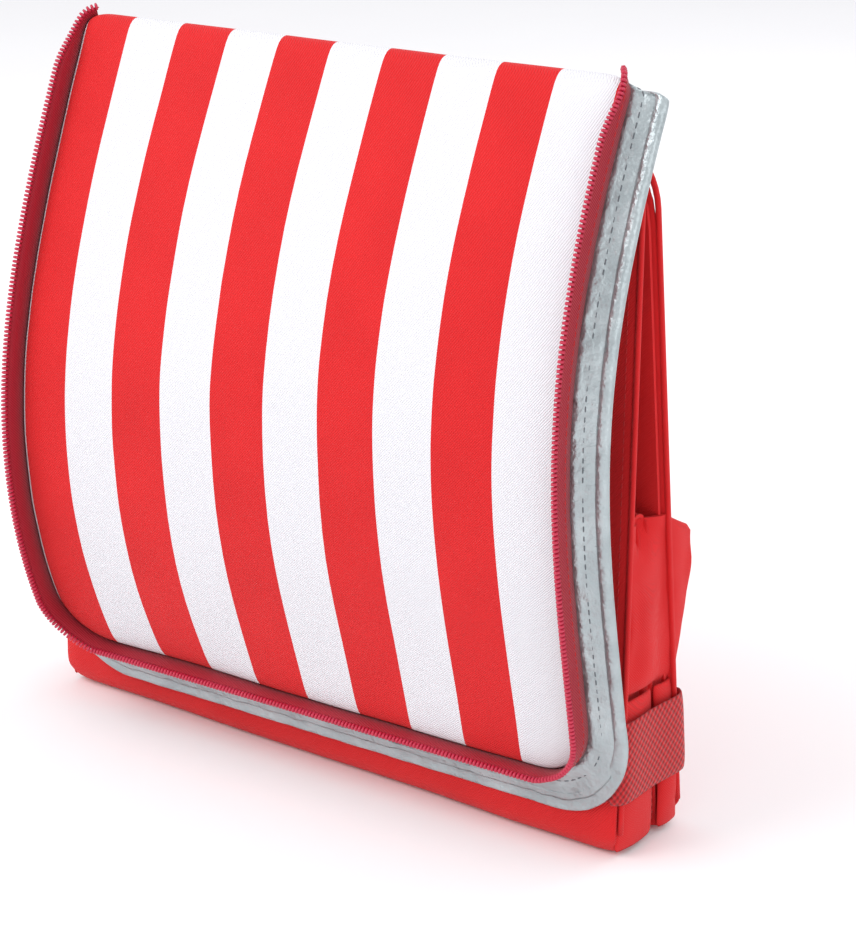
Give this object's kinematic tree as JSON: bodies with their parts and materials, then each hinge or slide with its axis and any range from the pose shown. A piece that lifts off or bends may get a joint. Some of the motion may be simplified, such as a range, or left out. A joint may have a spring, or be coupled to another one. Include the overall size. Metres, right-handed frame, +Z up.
{
  "type": "insulated cooler bag",
  "caption": "Foldable insulated cooler bag, folded flat and banded: padded arched lid on a top hinge, leaning walls with inward-folded gussets and floor.",
  "frame": {"origin": "on the floor plane, midway across the bag and midway between the two folds of its floor", "axes": "+X across the bag to the right, +Y to the rear, +Z up"},
  "size_m": [0.3342, 0.1032, 0.3389],
  "materials": {
    "striped_twill": "woven polyester twill with printed stripes",
    "red_twill": "woven polyester twill",
    "foam": "closed-cell foam sheet",
    "foil": "metallised foil lining",
    "zip_tape": "woven zip tape",
    "zip_coil": "nylon coil",
    "webbing": "basket-woven webbing",
    "moulded_plastic": "moulded acetal",
    "painted_zinc": "painted die-cast zinc"
  },
  "bodies": {
    "front_half": {"band_front_run": "webbing", "band_side_left": "webbing", "band_side_right": "webbing", "front_facet_left": "red_twill", "front_facet_right": "red_twill", "front_floor_half": "red_twill", "front_gusset_left": "red_twill", "front_gusset_right": "red_twill", "front_wall_cover": "red_twill", "front_wall_foam": "foam", "front_wall_lining": "foil", "front_zip_coil": "zip_coil", "front_zip_tape": "zip_tape", "lid_hinge_fold": "red_twill", "side_webbing_left": "webbing", "side_webbing_right": "webbing"},
    "rear_half": {"band_rear_run": "webbing", "band_tri_glide": "moulded_plastic", "rear_facet_left": "red_twill", "rear_facet_right": "red_twill", "rear_floor_half": "red_twill", "rear_gusset_left": "red_twill", "rear_gusset_right": "red_twill", "rear_wall_cover": "red_twill", "rear_wall_foam": "foam", "rear_wall_lining": "foil", "rear_zip_tape": "zip_tape", "zip_slider_left": "painted_zinc", "zip_slider_right": "painted_zinc"},
    "lid": {"lid_foam": "foam", "lid_foil_lining": "foil", "lid_foil_piping": "foil", "lid_outer_panel": "striped_twill", "lid_zip_coil": "zip_coil", "lid_zip_tape": "zip_tape"},
    "pull_right": {"slider_pull_right": "painted_zinc"},
    "pull_left": {"slider_pull_left": "painted_zinc"}
  },
  "joints": [
    {"name": "body_spread", "type": "hinge", "parent": "front_half", "child": "rear_half", "pos_m": [0, -0.0143, 0.306], "axis": [1, 0, 0], "range_deg": [0, 25], "stiffness_Nm_per_rad": 1, "springref_deg": -20.05},
    {"name": "lid_hinge", "type": "hinge", "parent": "front_half", "child": "lid", "pos_m": [0, -0.0085, 0.331], "axis": [-1, 0, 0], "range_deg": [0, 170]},
    {"name": "pull_swing_right", "type": "hinge", "parent": "rear_half", "child": "pull_right", "pos_m": [0.1, 0.00162, 0.28163], "axis": [1, 0, 0], "range_deg": [0, 170]},
    {"name": "pull_swing_left", "type": "hinge", "parent": "rear_half", "child": "pull_left", "pos_m": [-0.1, 0.00162, 0.28163], "axis": [1, 0, 0], "range_deg": [0, 170]}
  ]
}
